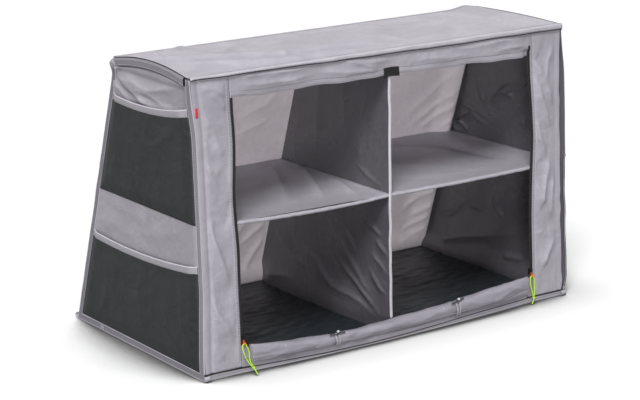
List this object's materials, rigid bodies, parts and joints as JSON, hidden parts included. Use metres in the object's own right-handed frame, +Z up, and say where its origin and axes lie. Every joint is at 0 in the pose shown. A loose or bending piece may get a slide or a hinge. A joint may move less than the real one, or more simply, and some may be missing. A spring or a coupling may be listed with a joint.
{
  "type": "tent storage cupboard",
  "caption": "Fabric tent cupboard on a tube frame, with shelved bays either side of a divider, side pockets and a zipped front door rolled down on its sill.",
  "frame": {"origin": "on the ground, under the middle of the cupboard's width and depth at its base", "axes": "+Z up, +X to the right as seen from the front, the zipped front faces -Y"},
  "size_m": [1.0164, 0.5694, 0.654],
  "materials": {
    "cover": "light grey coated polyester, faint print, soft sheen",
    "back": "pale warm grey polyester",
    "dark": "dark grey polyester",
    "black": "black polyester, matt",
    "groundsheet": "black coated groundsheet, low sheen",
    "webbing": "grey ribbed webbing",
    "pale_binding": "pale grey binding tape",
    "frame_tube": "dark grey powder coat",
    "springy_bar": "black pultruded fibreglass",
    "corner_fitting": "black moulded nylon",
    "zip_tape": "black coil zip on woven tape",
    "zip_slider": "black lacquered die casting",
    "orange_plastic": "orange moulded plastic",
    "lime_cord": "lime braided cord",
    "toggle_plastic": "smoky grey acetal",
    "tag": "red woven label, blank"
  },
  "bodies": {
    "root": {"roof_panel": "cover", "back_panel": "back", "floor_panel": "groundsheet", "front_header": "cover", "front_sill": "webbing", "front_left_jamb": "cover", "front_right_jamb": "cover", "door_roll": "cover", "divider_panel": "dark", "divider_front_binding": "pale_binding", "header_tab": "black", "seam_tag": "tag", "bottom_front_rail": "frame_tube", "bottom_rear_rail": "frame_tube", "top_front_rail": "frame_tube", "top_rear_rail": "frame_tube", "left_front_upright": "frame_tube", "left_rear_upright": "frame_tube", "left_bottom_bar": "frame_tube", "left_top_bar": "springy_bar", "left_bottom_front_fitting": "corner_fitting", "left_bottom_rear_fitting": "corner_fitting", "left_top_front_fitting": "corner_fitting", "left_top_rear_fitting": "corner_fitting", "left_side_panel": "cover", "left_edge_binding": "webbing", "left_top_sleeve": "webbing", "left_shelf_panel": "cover", "left_lower_pocket": "black", "left_upper_pocket": "black", "left_zip_tape": "zip_tape", "left_tie": "webbing", "right_front_upright": "frame_tube", "right_rear_upright": "frame_tube", "right_bottom_bar": "frame_tube", "right_top_bar": "springy_bar", "right_bottom_front_fitting": "corner_fitting", "right_bottom_rear_fitting": "corner_fitting", "right_top_front_fitting": "corner_fitting", "right_top_rear_fitting": "corner_fitting", "right_side_panel": "cover", "right_edge_binding": "webbing", "right_top_sleeve": "webbing", "right_shelf_panel": "cover", "right_lower_pocket": "black", "right_upper_pocket": "black", "right_zip_tape": "zip_tape", "right_tie": "webbing"},
    "left_slider": {"left_zip_slider": "zip_slider"},
    "left_pull": {"left_puller": "orange_plastic", "left_pull_cord": "lime_cord", "left_pull_knot": "lime_cord"},
    "left_toggle_bar": {"left_toggle": "toggle_plastic"},
    "right_slider": {"right_zip_slider": "zip_slider"},
    "right_pull": {"right_puller": "orange_plastic", "right_pull_cord": "lime_cord", "right_pull_knot": "lime_cord"},
    "right_toggle_bar": {"right_toggle": "toggle_plastic"}
  },
  "joints": [
    {"name": "left_zip", "type": "slide", "parent": "root", "child": "left_slider", "axis": [0, 0.0468, 0.9989], "range_m": [0, 0.505]},
    {"name": "left_pull_swing", "type": "hinge", "parent": "left_slider", "child": "left_pull", "pos_m": [-0.399, -0.26788, 0.07206], "axis": [-1, 0, 0], "range_deg": [0, 125]},
    {"name": "left_toggle_turn", "type": "hinge", "parent": "root", "child": "left_toggle_bar", "pos_m": [-0.17, -0.28644, 0.04527], "axis": [0, -0.4561, 0.8899], "range_deg": [-90, 90]},
    {"name": "right_zip", "type": "slide", "parent": "root", "child": "right_slider", "axis": [0, 0.0468, 0.9989], "range_m": [0, 0.505]},
    {"name": "right_pull_swing", "type": "hinge", "parent": "right_slider", "child": "right_pull", "pos_m": [0.399, -0.26788, 0.07206], "axis": [-1, 0, 0], "range_deg": [0, 125]},
    {"name": "right_toggle_turn", "type": "hinge", "parent": "root", "child": "right_toggle_bar", "pos_m": [0.164, -0.28698, 0.05425], "axis": [0, -0.5739, 0.8189], "range_deg": [-90, 90]}
  ]
}
